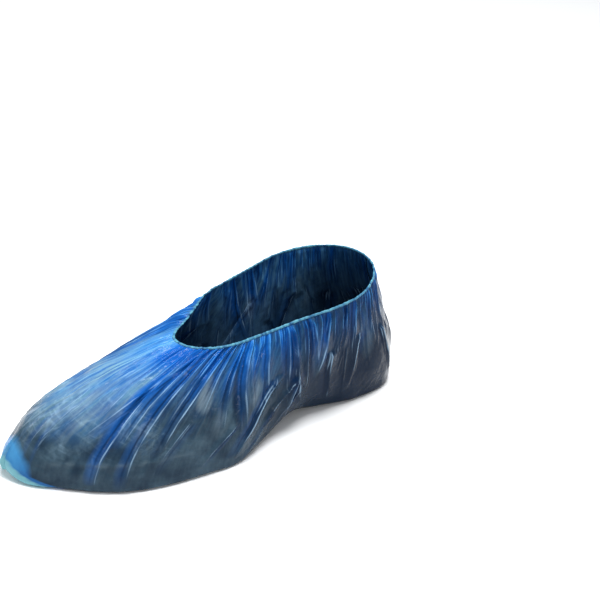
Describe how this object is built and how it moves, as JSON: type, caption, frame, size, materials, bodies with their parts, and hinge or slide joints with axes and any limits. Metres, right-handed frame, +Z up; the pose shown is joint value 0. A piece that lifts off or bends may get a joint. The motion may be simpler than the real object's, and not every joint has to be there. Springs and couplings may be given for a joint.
{
  "type": "shoe cover",
  "caption": "Disposable shoe cover of thin blue film, open at the top with a gathered elastic rim, standing on its flat sole as worn.",
  "frame": {"origin": "middle of the cover's box, on the floor that the sole stands on", "axes": "+X from toe to heel, +Y to the wearer's right of a left foot, +Z up"},
  "size_m": [0.3118, 0.112, 0.0994],
  "materials": {
    "blue_film": "thin embossed polyethylene film, translucent and glossy",
    "hem_film": "film rolled over an elastic, pale and gathered",
    "seam_weld": "two welded layers of film"
  },
  "bodies": {
    "root": {"film_body": "blue_film", "elastic_hem": "hem_film", "toe_seam": "seam_weld", "heel_seam": "seam_weld"}
  },
  "joints": []
}
